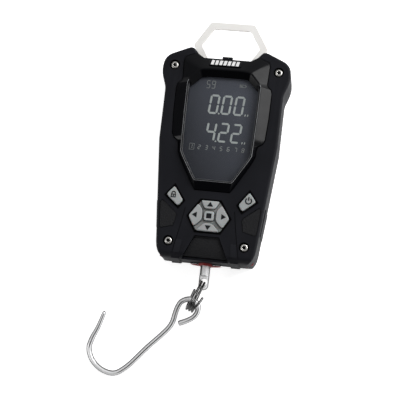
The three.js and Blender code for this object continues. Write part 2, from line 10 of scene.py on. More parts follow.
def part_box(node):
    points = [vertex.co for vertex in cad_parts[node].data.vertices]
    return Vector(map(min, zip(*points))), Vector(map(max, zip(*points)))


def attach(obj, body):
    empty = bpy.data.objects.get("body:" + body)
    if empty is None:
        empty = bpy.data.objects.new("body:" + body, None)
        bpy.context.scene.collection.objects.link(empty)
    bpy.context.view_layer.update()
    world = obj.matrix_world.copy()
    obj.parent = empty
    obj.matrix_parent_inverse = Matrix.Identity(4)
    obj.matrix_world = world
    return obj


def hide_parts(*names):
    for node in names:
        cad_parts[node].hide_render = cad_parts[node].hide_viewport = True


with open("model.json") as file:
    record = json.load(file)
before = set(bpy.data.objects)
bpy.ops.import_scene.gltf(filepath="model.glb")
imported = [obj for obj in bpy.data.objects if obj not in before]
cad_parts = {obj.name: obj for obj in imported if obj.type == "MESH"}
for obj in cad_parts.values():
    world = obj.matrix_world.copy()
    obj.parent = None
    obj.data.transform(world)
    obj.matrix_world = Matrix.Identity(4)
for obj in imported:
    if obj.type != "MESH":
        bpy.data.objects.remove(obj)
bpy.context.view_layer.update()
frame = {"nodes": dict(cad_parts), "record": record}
MM = 0.001
scene = bpy.context.scene
scene.view_settings.view_transform = "Standard"

# ---- Camera, floor and light -----------------------------------------------------------------------------
CAMERA_DISTANCE = 0.7
CAMERA_PITCH = -11.73  # degrees that the view leans towards the hook end
CAMERA_YAW = -7.2  # degrees that it leans to the right
CAMERA_ROLL = -6.84
VIEW_WIDTH = 0.24  # what the frame spans at the case's mid height
CASE_MIDDLE = Vector((0, 3.4 * MM, 14 * MM))
AIM_OFFSET = Vector((-11.19 * MM, -27.0 * MM, CAMERA_DISTANCE))
FLOOR_GLOW = 0.78  # light that the paper gives off itself, so that shadows on it stay faint
FLOOR_HALF = 20.0
FLOOR_DROP = 0.0002  # how far the paper lies below the rear face's plane


def make_camera():
    turn = (
        Matrix.Rotation(math.radians(CAMERA_ROLL), 3, "Z")
        @ Matrix.Rotation(math.radians(CAMERA_PITCH), 3, "X")
        @ Matrix.Rotation(math.radians(CAMERA_YAW), 3, "Y")
    ).transposed()
    data = bpy.data.cameras.new("camera")
    data.sensor_width = 36
    data.lens = data.sensor_width * CAMERA_DISTANCE / VIEW_WIDTH
    data.clip_start, data.clip_end = 0.01, 20
    cam = bpy.data.objects.new("camera", data)
    scene.collection.objects.link(cam)
    cam.matrix_world = Matrix.Translation(CASE_MIDDLE + turn @ AIM_OFFSET) @ turn.to_4x4()
    scene.camera = cam


def area_light(name, place, aim, size, watts):
    data = bpy.data.lights.new(name, "AREA")
    data.shape = "RECTANGLE"
    data.size, data.size_y = size
    data.energy = watts
    lamp = bpy.data.objects.new(name, data)
    scene.collection.objects.link(lamp)
    lamp.location = place
    lamp.rotation_mode = "QUATERNION"
    lamp.rotation_quaternion = (Vector(aim) - Vector(place)).to_track_quat("-Z", "Y")


def make_sky(world):
    """A tent of light: bright beyond the handle and on the right, dim overhead and at the hook end."""
    tree = world.node_tree
    place = tree.nodes.new("ShaderNodeTexCoord")
    side = tree.nodes.new("ShaderNodeVectorMath")
    side.operation = "DOT_PRODUCT"
    side.inputs[1].default_value = (0.42, 0.62, -0.25)
    level = tree.nodes.new("ShaderNodeMapRange")
    level.inputs["From Min"].default_value = -0.45
    level.inputs["From Max"].default_value = 0.75
    level.inputs["To Min"].default_value = 0.05
    level.inputs["To Max"].default_value = 1.0
    tree.links.new(place.outputs["Generated"], side.inputs[0])
    tree.links.new(side.outputs["Value"], level.inputs["Value"])
    tree.links.new(level.outputs["Result"], tree.nodes["Background"].inputs["Strength"])


def make_floor():
    mesh = bpy.data.meshes.new("floor")
    corners = [(i * FLOOR_HALF, j * FLOOR_HALF) for i, j in ((-1, -1), (1, -1), (1, 1), (-1, 1))]
    mesh.from_pydata([(x, y, -FLOOR_DROP) for x, y in corners], [], [(0, 1, 2, 3)])
    floor = bpy.data.objects.new("floor", mesh)
    scene.collection.objects.link(floor)
    paper = bpy.data.materials.new("paper")
    paper.use_nodes = True
    shader = paper.node_tree.nodes["Principled BSDF"]
    shader.inputs["Base Color"].default_value = (0.93, 0.93, 0.93, 1)
    shader.inputs["Roughness"].default_value = 0.9
    shader.inputs["Specular IOR Level"].default_value = 0.1
    shader.inputs["Emission Color"].default_value = (1, 1, 1, 1)
    shader.inputs["Emission Strength"].default_value = FLOOR_GLOW
    mesh.materials.append(paper)


def make_studio():
    world = bpy.data.worlds.new("studio")
    world.use_nodes = True
    world.node_tree.nodes["Background"].inputs["Color"].default_value = (1, 1, 1, 1)
    scene.world = world
    make_sky(world)
    area_light("key", (0.66, 0.5, 0.62), (0, -0.02, 0), (0.7, 0.7), 8.0)
    area_light("fill", (-0.95, -0.3, 0.5), (0, 0, 0), (0.5, 0.9), 4.0)
    make_floor()


# ---- Procedural materials --------------------------------------------------------------------------------
class Finish:
    """One procedural material: a Principled shader with helpers that hang noise, bump, edge wear with painted
    highlights, and painted crevice shade on it.
    """

    def __init__(self, name, colour, roughness, metallic=0.0, **constants):
        self.material = bpy.data.materials.new(name)
        self.material.use_nodes = True
        self.tree = self.material.node_tree
        self.shader = self.tree.nodes["Principled BSDF"]
        self.shader.inputs["Base Color"].default_value = (*colour, 1)
        self.shader.inputs["Roughness"].default_value = roughness
        self.shader.inputs["Metallic"].default_value = metallic
        for socket, value in constants.items():
            self.shader.inputs[socket.replace("_", " ")].default_value = value
        self.colour = colour
        self.roughness = roughness
        self.mixed = None
        self.height = None

    def node(self, kind, **settings):
        made = self.tree.nodes.new(kind)
        for key, value in settings.items():
            if key.startswith("in_"):
                made.inputs[key[3:].replace("_", " ")].default_value = value
            else:
                setattr(made, key, value)
        return made

    def link(self, a, b):
        self.tree.links.new(a, b)

    def position(self, stretch=(1, 1, 1)):
        place = self.node("ShaderNodeTexCoord").outputs["Object"]
        scaled = self.node("ShaderNodeVectorMath", operation="MULTIPLY")
        self.link(place, scaled.inputs[0])
        scaled.inputs[1].default_value = stretch
        return scaled.outputs[0]

    def noise(self, scale, detail=4.0, stretch=(1, 1, 1)):
        made = self.node("ShaderNodeTexNoise", in_Scale=scale, in_Detail=detail)
        self.link(self.position(stretch), made.inputs["Vector"])
        return made.outputs["Fac"]

    def cells(self, scale, stretch=(1, 1, 1)):
        made = self.node("ShaderNodeTexVoronoi", in_Scale=scale)
        self.link(self.position(stretch), made.inputs["Vector"])
        return made.outputs["Distance"]

    def spread(self, value, low, high, start=0.3, end=0.7):
        made = self.node("ShaderNodeMapRange", clamp=True)
        made.inputs["From Min"].default_value = start
        made.inputs["From Max"].default_value = end
        made.inputs["To Min"].default_value = low
        made.inputs["To Max"].default_value = high
        self.link(value, made.inputs["Value"])
        return made.outputs["Result"]

    def vary_roughness(self, value, amount):
        out = self.spread(value, self.roughness - amount, self.roughness + amount)
        self.link(out, self.shader.inputs["Roughness"])
        return self

    def vary_colour(self, value, darker, lighter):
        ramp = self.node("ShaderNodeValToRGB")
        ramp.color_ramp.elements[0].position = 0.3
        ramp.color_ramp.elements[1].position = 0.7
        ramp.color_ramp.elements[0].color = (*[c * darker for c in self.colour], 1)
        ramp.color_ramp.elements[1].color = (*[min(1, c * lighter) for c in self.colour], 1)
        self.link(value, ramp.inputs["Fac"])
        self.mixed = ramp.outputs["Color"]
        self.link(self.mixed, self.shader.inputs["Base Color"])
        return self

    def wear_and_painted_highlight(self, colour, low=0.53, high=0.62, amount=0.6):
        """Edges lightened to another colour, from the surface's own curvature: partly rubbed wear, partly a
        painted highlight along the edges.
        """
        edge = self.spread(self.node("ShaderNodeNewGeometry").outputs["Pointiness"], 0, amount, low, high)
        mix = self.node("ShaderNodeMix", data_type="RGBA")
        self.link(edge, mix.inputs[0])
        if self.mixed:
            self.link(self.mixed, mix.inputs[6])
        else:
            mix.inputs[6].default_value = (*self.colour, 1)
        mix.inputs[7].default_value = (*colour, 1)
        self.mixed = mix.outputs[2]
        self.link(self.mixed, self.shader.inputs["Base Color"])
        return self

    def painted_crevice_shade(self, reach, depth=0.9):
        """Paints shade into the colour: darkens grooves and corners nearer than the reach to another surface.
        """
        shade = self.node("ShaderNodeAmbientOcclusion", samples=8, in_Distance=reach)
        mix = self.node("ShaderNodeMix", data_type="RGBA", blend_type="MULTIPLY")
        mix.inputs[0].default_value = depth
        self.link(self.mixed, mix.inputs[6])
        self.link(shade.outputs["Color"], mix.inputs[7])
        self.mixed = mix.outputs[2]
        self.link(self.mixed, self.shader.inputs["Base Color"])
        return self

    def bump(self, value, strength, distance):
        made = self.node("ShaderNodeBump", in_Strength=strength, in_Distance=distance)
        self.link(value, made.inputs["Height"])
        if self.height:
            self.link(self.height, made.inputs["Normal"])
        self.height = made.outputs["Normal"]
        self.link(self.height, self.shader.inputs["Normal"])
        return self


def case_rubber():
    f = Finish("case_rubber", (0.0078, 0.0082, 0.0112), 0.62, Specular_IOR_Level=0.13)
    fine = f.noise(5200, 2)
    broad = f.noise(60, 4)
    f.vary_roughness(broad, 0.05).vary_colour(broad, 0.85, 1.18)
    # Lighter edges are partly wear, partly a painted highlight; the darkening in grooves and corners is painted
    # shade.
    f.wear_and_painted_highlight((0.030, 0.031, 0.038), amount=0.5).painted_crevice_shade(0.0015)
    return f.bump(fine, 0.16, 0.00005).material


def grip_rubber():
    f = Finish("grip_rubber", (0.0050, 0.0052, 0.0066), 0.66, Specular_IOR_Level=0.3)
    f.vary_colour(f.noise(90, 3), 0.85, 1.2)
    return f.bump(f.cells(1150), 0.8, 0.00022).material


def gloss_black():
    f = Finish("gloss_black", (0.0022, 0.0024, 0.0034), 0.2, Specular_IOR_Level=0.17)
    f.vary_roughness(f.noise(220, 4), 0.04)
    # Lighter edges are partly wear, partly a painted highlight.
    f.wear_and_painted_highlight((0.018, 0.019, 0.025), amount=0.4)
    return f.bump(f.noise(900, 2), 0.04, 0.00003).material


# A light grey that is a painted highlight on thin strips along the bezel's edges.
def rim_painted_highlight():
    f = Finish("rim_painted_highlight", (0.22, 0.225, 0.235), 0.2, Coat_Weight=0.5)
    return f.vary_colour(f.noise(90, 3), 0.7, 1.3).vary_roughness(f.noise(300, 3), 0.05).material


def smoked_window():
    f = Finish("smoked_window", (0.02, 0.022, 0.027), 0.05, Alpha=0.10, IOR=1.45)
    return f.vary_roughness(f.noise(150, 3), 0.02).material


def lcd_glass():
    """A blue-grey panel with a painted reflection that makes it lighter towards its upper right corner."""
    f = Finish("lcd_glass", (0.070, 0.076, 0.094), 0.34, Specular_IOR_Level=0.3)
    across = f.node("ShaderNodeVectorMath", operation="DOT_PRODUCT")
    f.link(f.position(), across.inputs[0])
    across.inputs[1].default_value = (13, 10, 0)
    f.vary_colour(f.spread(across.outputs["Value"], 0.3, 0.7, -0.4, 0.75), 0.42, 1.75)
    return f.vary_roughness(f.noise(900, 2), 0.04).material


def lcd_segment():
    glow = (0.55, 0.6, 0.6, 1)
    f = Finish("lcd_segment", (0.46, 0.50, 0.49), 0.5, Emission_Color=glow, Emission_Strength=0.1)
    return f.vary_colour(f.noise(600, 2), 0.93, 1.04).material


def lcd_dim():
    f = Finish("lcd_dim", (0.30, 0.32, 0.32), 0.5)
    return f.vary_colour(f.noise(600, 2), 0.93, 1.04).material


def key_silicone():
    f = Finish("key_silicone", (0.37, 0.385, 0.385), 0.5, Subsurface_Weight=0.08, Subsurface_Scale=0.001)
    f.vary_colour(f.noise(120, 4), 0.93, 1.05).vary_roughness(f.noise(300, 3), 0.06)
    # Lighter edges are partly wear, partly a painted highlight; the darkening in crevices is painted shade.
    f.wear_and_painted_highlight((0.5, 0.52, 0.52), amount=0.5).painted_crevice_shade(0.0007, 0.7)
    return f.bump(f.noise(4200, 2), 0.12, 0.00004).material


def mat_silicone():
    f = Finish("mat_silicone", (0.24, 0.25, 0.245), 0.55, Subsurface_Weight=0.08, Subsurface_Scale=0.001)
    # The darkening in its grooves and corners is painted shade.
    f.vary_colour(f.noise(140, 4), 0.9, 1.06).painted_crevice_shade(0.001, 0.8)
    return f.bump(f.noise(3800, 2), 0.12, 0.00004).material


# Near-black for pieces that are painted shade in gaps and recesses.
def painted_shade_black():
    f = Finish("painted_shade_black", (0.0012, 0.0012, 0.0014), 0.9, Specular_IOR_Level=0.05)
    return f.vary_colour(f.noise(300, 3), 0.8, 1.2).material


def legend_ink():
    f = Finish("legend_ink", (0.010, 0.011, 0.013), 0.6, Specular_IOR_Level=0.15)
    return f.vary_colour(f.noise(700, 2), 0.85, 1.2).material


def mark_ink():
    f = Finish("mark_ink", (0.80, 0.80, 0.80), 0.45)
    return f.vary_colour(f.noise(700, 2), 0.92, 1.03).material


def red_silicone():
    f = Finish("red_silicone", (0.30, 0.016, 0.018), 0.42, Subsurface_Weight=0.1, Subsurface_Scale=0.001)
    # The darkening in its corners is painted shade.
    f.vary_colour(f.noise(200, 3), 0.8, 1.15).painted_crevice_shade(0.001)
    return f.bump(f.noise(3000, 2), 0.15, 0.00005).material


def satin_steel():
    """The handle: bead-blasted bright steel with a faint grain along it."""
    f = Finish("satin_steel", (1.0, 0.975, 0.945), 0.45, 0.1)
    grain = f.noise(2600, 2, (0.08, 1, 1))
    f.vary_roughness(grain, 0.05).vary_colour(f.noise(70, 3), 0.97, 1.02)
    return f.bump(grain, 0.03, 0.00002).material


def brushed_steel():
    f = Finish("brushed_steel", (0.72, 0.72, 0.73), 0.32, 1.0, Anisotropic=0.3)
    streaks = f.noise(3200, 3, (1, 0.03, 1))
    f.vary_roughness(streaks, 0.07).vary_colour(f.noise(80, 3), 0.94, 1.03)
    return f.bump(streaks, 0.08, 0.00003).material


# The fixed direction from which the plating's painted reflections are measured.
PAINTED_REFLECTION_DIRECTION = Vector((0.22, -0.24, 0.95)).normalized()


def painted_reflection_plating(name, levels):
    """Plating with painted reflections: light and dark bands painted by how far each face turns from a fixed
    direction.

    The bands don't come from reflections: the underside is nearly black, and they shift as the piece turns.
    """
    f = Finish(name, (0.9, 0.9, 0.905), 0.14, 0.15)
    slope = f.node("ShaderNodeVectorMath", operation="DOT_PRODUCT")
    f.link(f.node("ShaderNodeNewGeometry").outputs["Normal"], slope.inputs[0])
    slope.inputs[1].default_value = PAINTED_REFLECTION_DIRECTION
    bands = f.node("ShaderNodeValToRGB")
    stops = bands.color_ramp.elements
    stops[0].position, stops[1].position = 0.0, 1.0
    stops[0].color = (levels[0][1],) * 3 + (1,)
    stops[1].color = (levels[-1][1],) * 3 + (1,)
    for place, level in levels[1:-1]:
        stops.new(place).color = (level, level, level * 1.01, 1)
    f.link(slope.outputs["Value"], bands.inputs["Fac"])
    f.mixed = bands.outputs["Color"]
    f.link(f.mixed, f.shader.inputs["Base Color"])
    f.vary_roughness(f.noise(350, 4), 0.03)
    return f.bump(f.noise(900, 3), 0.03, 0.00003)


def chrome():
    # Levels of painted reflection: the light and dark bands by surface direction.
    levels = (
        (0, 0.01), (0.5, 0.02), (0.64, 0.16), (0.76, 0.8),
        (0.9, 1), (0.97, 0.95), (0.985, 0.12), (1, 0.05),
    )
    return painted_reflection_plating("chrome", levels).material


def spring_chrome():
    # Levels of painted reflection: the light and dark bands by surface direction.
    levels = ((0, 0.008), (0.72, 0.012), (0.91, 0.03), (0.965, 0.35), (0.985, 0.95), (1, 1))
    return painted_reflection_plating("spring_chrome", levels).material


def screw_steel():
    f = Finish("screw_steel", (0.80, 0.785, 0.75), 0.22, 0.8)
    # The darkening in the recess and around the head is painted shade.
    f.vary_colour(f.noise(500, 3), 0.85, 1.05).painted_crevice_shade(0.0012, 1.0)
    f.vary_roughness(f.noise(900, 4), 0.08)
    return f.bump(f.noise(2500, 3), 0.1, 0.00004).material


def milled_aluminium():
    f = Finish("milled_aluminium", (0.66, 0.67, 0.69), 0.34, 1.0)
    streaks = f.noise(1600, 2, (0.05, 1, 1))
    return f.vary_roughness(streaks, 0.08).bump(streaks, 0.15, 0.00005).material


def board_mask():
    f = Finish("board_mask", (0.015, 0.10, 0.045), 0.35, Coat_Weight=0.3)
    tracks = f.cells(260, (1, 0.25, 1))
    f.vary_colour(tracks, 0.7, 1.6)
    return f.bump(tracks, 0.25, 0.00005).material


def black_plastic():
    f = Finish("black_plastic", (0.012, 0.012, 0.013), 0.5)
    return f.vary_roughness(f.noise(500, 3), 0.08).bump(f.noise(3000, 2), 0.1, 0.00003).material


def white_plastic():
    f = Finish("white_plastic", (0.80, 0.80, 0.79), 0.4)
    return f.vary_colour(f.noise(150, 3), 0.95, 1.03).material


def cell_jacket():
    f = Finish("cell_jacket", (0.03, 0.09, 0.24), 0.3, 0.6)
    band = f.noise(40, 0, (0.001, 1, 0.001))
    return f.vary_colour(band, 0.8, 1.3).vary_roughness(f.noise(300, 3), 0.06).material


MATERIALS = {
    make.__name__: make()
    for make in (
        case_rubber, grip_rubber, gloss_black, rim_painted_highlight, smoked_window, lcd_glass, lcd_segment, lcd_dim,
        key_silicone, mat_silicone, painted_shade_black, legend_ink, mark_ink, red_silicone,
        satin_steel, brushed_steel, chrome, spring_chrome, screw_steel,
        milled_aluminium, board_mask, black_plastic, white_plastic, cell_jacket,
    )
}
SLOT_MATERIAL = {"aluminium": "milled_aluminium", "board": "board_mask"}
NODE_MATERIAL = {"handle": "satin_steel", "key_mat": "mat_silicone"}


# ---- Mesh helpers ----------------------------------------------------------------------------------------
def add_piece(name, mesh, body, material, replaces=()):
    obj = bpy.data.objects.new(name, mesh)
    scene.collection.objects.link(obj)
    mesh.materials.clear()
    mesh.materials.append(MATERIALS[material])
    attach(obj, body)
    if replaces:
        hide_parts(*replaces)
    return obj


def mesh_from(name, verts, faces, smooth=False):
    mesh = bpy.data.meshes.new(name)
    mesh.from_pydata([Vector(v) for v in verts], [], faces)
    mesh.validate()
    shell = bmesh.new()
    shell.from_mesh(mesh)
    bmesh.ops.recalc_face_normals(shell, faces=shell.faces)
    shell.to_mesh(mesh)
    shell.free()
    if smooth:
        mesh.polygons.foreach_set("use_smooth", [True] * len(mesh.polygons))
    mesh.update()
    return mesh


def soften(obj, width, segments=2, angle=32):
    """Rounds an object's real edges with modifiers, so that light catches them; its mesh isn't touched."""
    obj.modifiers.new("weld", "WELD").merge_threshold = 1e-6
    flat = obj.modifiers.new("flat", "DECIMATE")
    flat.decimate_type = "DISSOLVE"
    flat.angle_limit = math.radians(0.6)
    edge = obj.modifiers.new("edge", "BEVEL")
    edge.width = width
    edge.segments = segments
    edge.limit_method = "ANGLE"
    edge.angle_limit = math.radians(angle)
    edge.use_clamp_overlap = True
    edge.harden_normals = False
    smooth_all(obj)
    return obj


def smooth_all(obj):
    obj.data.polygons.foreach_set("use_smooth", [True] * len(obj.data.polygons))


def smooth_by_angle(obj):
    """Shades small steps as round and keeps real edges crisp."""
    weighted = obj.modifiers.new("normals", "WEIGHTED_NORMAL")
    weighted.keep_sharp = True
    weighted.weight = 60
    return obj


# ---- Carried-over CAD nodes ------------------------------------------------------------------------------
EDGE = {
    "front_shell": 0.45, "rear_shell": 0.5, "display_bezel": 0.28, "battery_door": 0.3, "handle": 0.25,
    "main_board": 0.15, "load_cell": 0.3, "hook_shaft": 0.15, "shaft_seal": 0.25,
}


def dress_nodes():
    slots = {s["node"]: s["material_slot"] for s in frame["record"]["subparts"]}
    for name, obj in frame["nodes"].items():
        slot = slots[name]
        material = NODE_MATERIAL.get(name, SLOT_MATERIAL.get(slot, slot))
        if name.startswith("case_screw"):
            material = "screw_steel"
        obj.data.materials.clear()
        obj.data.materials.append(MATERIALS[material])
        soften(obj, EDGE.get(name, 0.12) * MM)
        smooth_by_angle(obj)


# ---- Outlines and swept shapes, in millimetres -----------------------------------------------------------
def mirrored(half):
    """A right-hand outline, listed upwards, completed by its mirror image."""
    return half + [(-x, y) for x, y in reversed(half) if x > 0]


def offset(points, distance):
    """Moves each corner of a counter-clockwise outline along its mitre."""
    moved = []
    for i, (x, y) in enumerate(points):
        ax, ay = points[i - 1]
        bx, by = points[(i + 1) % len(points)]
        before = Vector((y - ay, ax - x)).normalized()
        after = Vector((by - y, x - bx)).normalized()
        mitre = (before + after).normalized()
        reach = distance / max(mitre.dot(after), 0.5)
        moved.append((x + mitre.x * reach, y + mitre.y * reach))
    return moved


class Shape:
    """Gathers closed solids in millimetres and turns them into one mesh in metres."""

    def __init__(self):
        self.verts = []
        self.faces = []

    def rings(self, rings, closed=False):
        """A skin over rings of matching points, capped at both ends unless the rings close on themselves."""
        base = len(self.verts)
        n = len(rings[0])
        for ring in rings:
            self.verts.extend(tuple(p) for p in ring)
        last = len(rings) if closed else len(rings) - 1
        for k in range(last):
            a = base + k * n
            b = base + ((k + 1) % len(rings)) * n
            for i in range(n):
                j = (i + 1) % n
                self.faces.append((a + i, a + j, b + j, b + i))
        if not closed:
            self.faces.append(tuple(base + i for i in reversed(range(n))))
            self.faces.append(tuple(base + (len(rings) - 1) * n + i for i in range(n)))
        return self

    def slab(self, outline, z0, z1, chamfer=0.0):
        """An upright plate of an outline, its upper edge drawn in by the chamfer."""
        levels = [(z0, 0.0), (z1 - chamfer, 0.0), (z1, -chamfer)] if chamfer else [(z0, 0.0), (z1, 0.0)]
        return self.rings([[(x, y, z) for x, y in offset(outline, grow)] for z, grow in levels])

    def ring_slab(self, outer, inner, z0, z1):
        """An upright frame between two outlines of matching corners."""
        loops = [(outer, z0), (outer, z1), (inner, z1), (inner, z0)]
        return self.rings([[(x, y, z) for x, y in outline] for outline, z in loops], closed=True)

    def mesh(self, name, smooth=False, place=None):
        place = place or Matrix.Identity(4)
        return mesh_from(name, [(place @ Vector(v)) * MM for v in self.verts], self.faces, smooth)


def sweep(points, radius, sides=20):
    """Rings along a route: radius(t) gives the thickness at t, from 0 at the start to 1 at the end."""
    points = [Vector(p) for p in points]
    side = None
    rings = []
    for i, here in enumerate(points):
        ahead = points[min(i + 1, len(points) - 1)] - points[max(i - 1, 0)]
        ahead.normalize()
        side = side or ahead.orthogonal()
        side = (side - ahead * side.dot(ahead)).normalized()
        up = ahead.cross(side)
        r = radius(i / (len(points) - 1))
        turn = [2 * math.pi * k / sides for k in range(sides)]
        rings.append([here + (side * math.cos(a) + up * math.sin(a)) * r for a in turn])
    return rings


def spline(points, per_span=12):
    """A centripetal Catmull-Rom curve through the given points."""
    points = [Vector(p) for p in points]
    points = [points[0] * 2 - points[1], *points, points[-1] * 2 - points[-2]]
    route = []
    for p0, p1, p2, p3 in zip(points, points[1:], points[2:], points[3:]):
        t1 = (p1 - p0).length ** 0.5
        t2 = t1 + (p2 - p1).length ** 0.5
        t3 = t2 + (p3 - p2).length ** 0.5
        for k in range(per_span):
            t = t1 + (t2 - t1) * k / per_span
            a1 = p0.lerp(p1, t / t1)
            a2 = p1.lerp(p2, (t - t1) / (t2 - t1))
            a3 = p2.lerp(p3, (t - t2) / (t3 - t2))
            b1 = a1.lerp(a2, t / t2)
            b2 = a2.lerp(a3, (t - t1) / (t3 - t1))
            route.append(b1.lerp(b2, (t - t1) / (t2 - t1)))
    return [*route, points[-2]]


# ---- Display ---------------------------------------------------------------------------------------------
RIM_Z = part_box("display_bezel")[1].z / MM
BEZEL_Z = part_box("display_bezel")[0].z / MM
CASE_Z = RIM_Z - 3.0  # the flat front face
LENS_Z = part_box("display_window")[1].z / MM
LCD_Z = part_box("lcd_panel")[1].z / MM
# Each pair is a corner of the bezel's foot on the case and of its crest around the window.
BEZEL = [
    ((10.3, -21.6), (11, -16.8)),
    ((12.6, -18.2), (12, -15.8)),
    ((17, -10.4), (15.8, -9.4)),
    ((21, -3.4), (20, -2.4)),
    ((22.8, 1), (21.3, 0.4)),
    ((23, 5), (21.4, 4)),
    ((23.8, 7.4), (21.5, 7)),
    ((26.3, 9), (21.6, 9.5)),
    ((27.6, 11.6), (21.7, 12)),
    ((28.4, 25), (22, 25)),
    ((28.6, 40), (22.2, 40)),
    ((28, 42.4), (22.2, 43)),
    ((26, 44.2), (21.6, 44.6)),
    ((25.4, 46), (20.8, 45.8)),
    ((25.9, 56.6), (16, 51.2)),
    ((25.2, 59.4), (15.2, 51.7)),
    ((18.6, 62.3), (14, 52.2)),
    ((14.2, 59.6), (9, 52.6)),
]
FOOT = mirrored([foot for foot, crest in BEZEL])
CREST = mirrored([crest for foot, crest in BEZEL])
RIM = 1.0  # width of the flat crest


def at_the_lens(points):
    """Where the bezel's inner wall meets the lens: upright below, sloping far inwards around the top."""
    moved = []
    for x, y in points:
        deep = min(1, max(0, (y - 38) / 8))
        moved.append((x * (1 - 0.055 * deep), y - 3.4 * deep))
    return moved


def bezel_frame():
    """The bezel with its faceted slopes, a flat crest and a wall that drops to the lens."""
    inner = offset(CREST, -RIM)
    loops = [
        (FOOT, BEZEL_Z),
        (FOOT, CASE_Z + 0.35),
        (CREST, RIM_Z),
        (inner, RIM_Z),
        (at_the_lens(offset(CREST, -RIM - 0.2)), LENS_Z + 0.1),
        (offset(CREST, 0.6), BEZEL_Z),
    ]
    shape = Shape().rings([[(x, y, z) for x, y in outline] for outline, z in loops], closed=True)
    mesh = shape.mesh("bezel_frame")
    obj = add_piece("bezel_frame", mesh, "case", "gloss_black", ["display_bezel"])
    edge = obj.modifiers.new("edge", "BEVEL")
    edge.width = 0.3 * MM
    edge.segments = 3
    edge.limit_method = "ANGLE"
    edge.angle_limit = math.radians(14)
    smooth_all(obj)
    smooth_by_angle(obj)
    latch = [(-3.1, 59.4), (3.1, 59.4), (3.1, 61.1), (-3.1, 61.1)]
    tab = Shape().slab(latch, BEZEL_Z, CASE_Z + 0.45, 0.25)
    add_piece("bezel_latch", tab.mesh("bezel_latch"), "case", "gloss_black")


def rim_lines():
    """Thin strips with a painted highlight, which stand for the lit edges of the crest and the lens."""
    start = len(BEZEL) - 5
    for name, grow, z in (("crest_line", -0.12, RIM_Z - 0.05), ("lens_line", -RIM - 0.05, RIM_Z - 0.9)):
        path = offset(CREST, grow)
        path = path[-start:] + path[:start]
        inner = offset(CREST, grow - 0.26)
        inner = inner[-start:] + inner[:start]
        rings = []
        for (x, y), (u, v) in zip(path, inner):
            rings.append([(x, y, z - 0.25), (x, y, z + 0.04), (u, v, z + 0.1), (u, v, z - 0.25)])
        add_piece(name, Shape().rings(rings).mesh(name), "case", "rim_painted_highlight")


SEGMENTS = {
    "0": "abcdef", "1": "bc", "2": "abged", "3": "abgcd", "4": "fgbc", "5": "afgcd", "6": "afgedc",
    "7": "abc", "8": "abcdefg", "9": "abcdfg",
}
SLANT = 0.085


def segment(shape, start, end, thick, z0, z1):
    """One display bar with pointed ends."""
    start, end = Vector(start), Vector(end)
    along = (end - start).normalized()
    side = Vector((-along.y, along.x)) * thick / 2
    start += along * thick * 0.12
    end -= along * thick * 0.12
    nib = along * thick / 2
    corners = [start, start + nib - side, end - nib - side, end, end - nib + side, start + nib + side]
    shape.slab([(c.x, c.y) for c in corners], z0, z1)


def digit(shape, text, x, y, width, height, thick):
    """A seven-segment digit whose lower left corner is at x, y."""
    def at(i, j):
        return (x + i * width + j * height / 2 * SLANT, y + j * height / 2)
    ends = {
        "a": (at(0, 2), at(1, 2)), "b": (at(1, 1), at(1, 2)), "c": (at(1, 0), at(1, 1)),
        "d": (at(0, 0), at(1, 0)), "e": (at(0, 0), at(0, 1)), "f": (at(0, 1), at(0, 2)),
        "g": (at(0, 1), at(1, 1)),
    }
    for bar in SEGMENTS[text]:
        segment(shape, *ends[bar], thick, LCD_Z + 0.03, LCD_Z + 0.16)


def dot(shape, x, y, r, sides=12, z0=None, z1=None):
    turn = [2 * math.pi * k / sides for k in range(sides)]
    outline = [(x + r * math.cos(a), y + r * math.sin(a)) for a in turn]
    shape.slab(outline, LCD_Z + 0.03 if z0 is None else z0, LCD_Z + 0.16 if z1 is None else z1)


def reading(name, text, y):
    """Three large digits with a point after the first, and a small unit mark."""
    shape = Shape()
    for i, figure in enumerate(text):
        digit(shape, figure, -7.9 + 7.55 * i, y + 0.6, 4.7, 10.9, 1.2)
    dot(shape, -1.7, y + 0.45, 0.5)
    for i in range(2):
        segment(shape, (13.9 + 1.5 * i, y - 0.2), (14.3 + 1.5 * i, y + 1.5), 0.62, LCD_Z + 0.03, LCD_Z + 0.16)
    add_piece(name, shape.mesh(name), "case", "lcd_segment")


def small_readings():
    """The temperature, the battery mark and the numbered memory places."""
    shape = Shape()
    for i, figure in enumerate("59"):
        digit(shape, figure, -11.0 + 3.1 * i, 41.6, 1.9, 4.5, 0.42)
    add_piece("temperature_reading", shape.mesh("temperature_reading"), "case", "lcd_dim")
    shape = Shape()
    frame_outline = [(9.0, 43.4), (12.6, 43.4), (12.6, 45.2), (9.0, 45.2)]
    shape.ring_slab(frame_outline, offset(frame_outline, -0.32), LCD_Z + 0.03, LCD_Z + 0.16)
    shape.slab([(12.7, 43.9), (13.2, 43.9), (13.2, 44.7), (12.7, 44.7)], LCD_Z + 0.03, LCD_Z + 0.16)
    shape.slab([(9.6, 44.0), (10.8, 44.0), (10.8, 44.6), (9.6, 44.6)], LCD_Z + 0.03, LCD_Z + 0.16)
    add_piece("battery_mark", shape.mesh("battery_mark"), "case", "lcd_dim")
    shape = Shape()
    for i in range(8):
        nudge = 0.0 if i else -0.55
        digit(shape, str(i + 1), -16.1 + nudge + 4.36 * i, 3.6, 1.3, 2.4, 0.42)
    box_outline = [(-16.9, 2.8), (-13.9, 2.8), (-13.9, 6.7), (-16.9, 6.7)]
    shape.ring_slab(box_outline, offset(box_outline, -0.22), LCD_Z + 0.03, LCD_Z + 0.16)
    add_piece("memory_places", shape.mesh("memory_places"), "case", "lcd_dim")


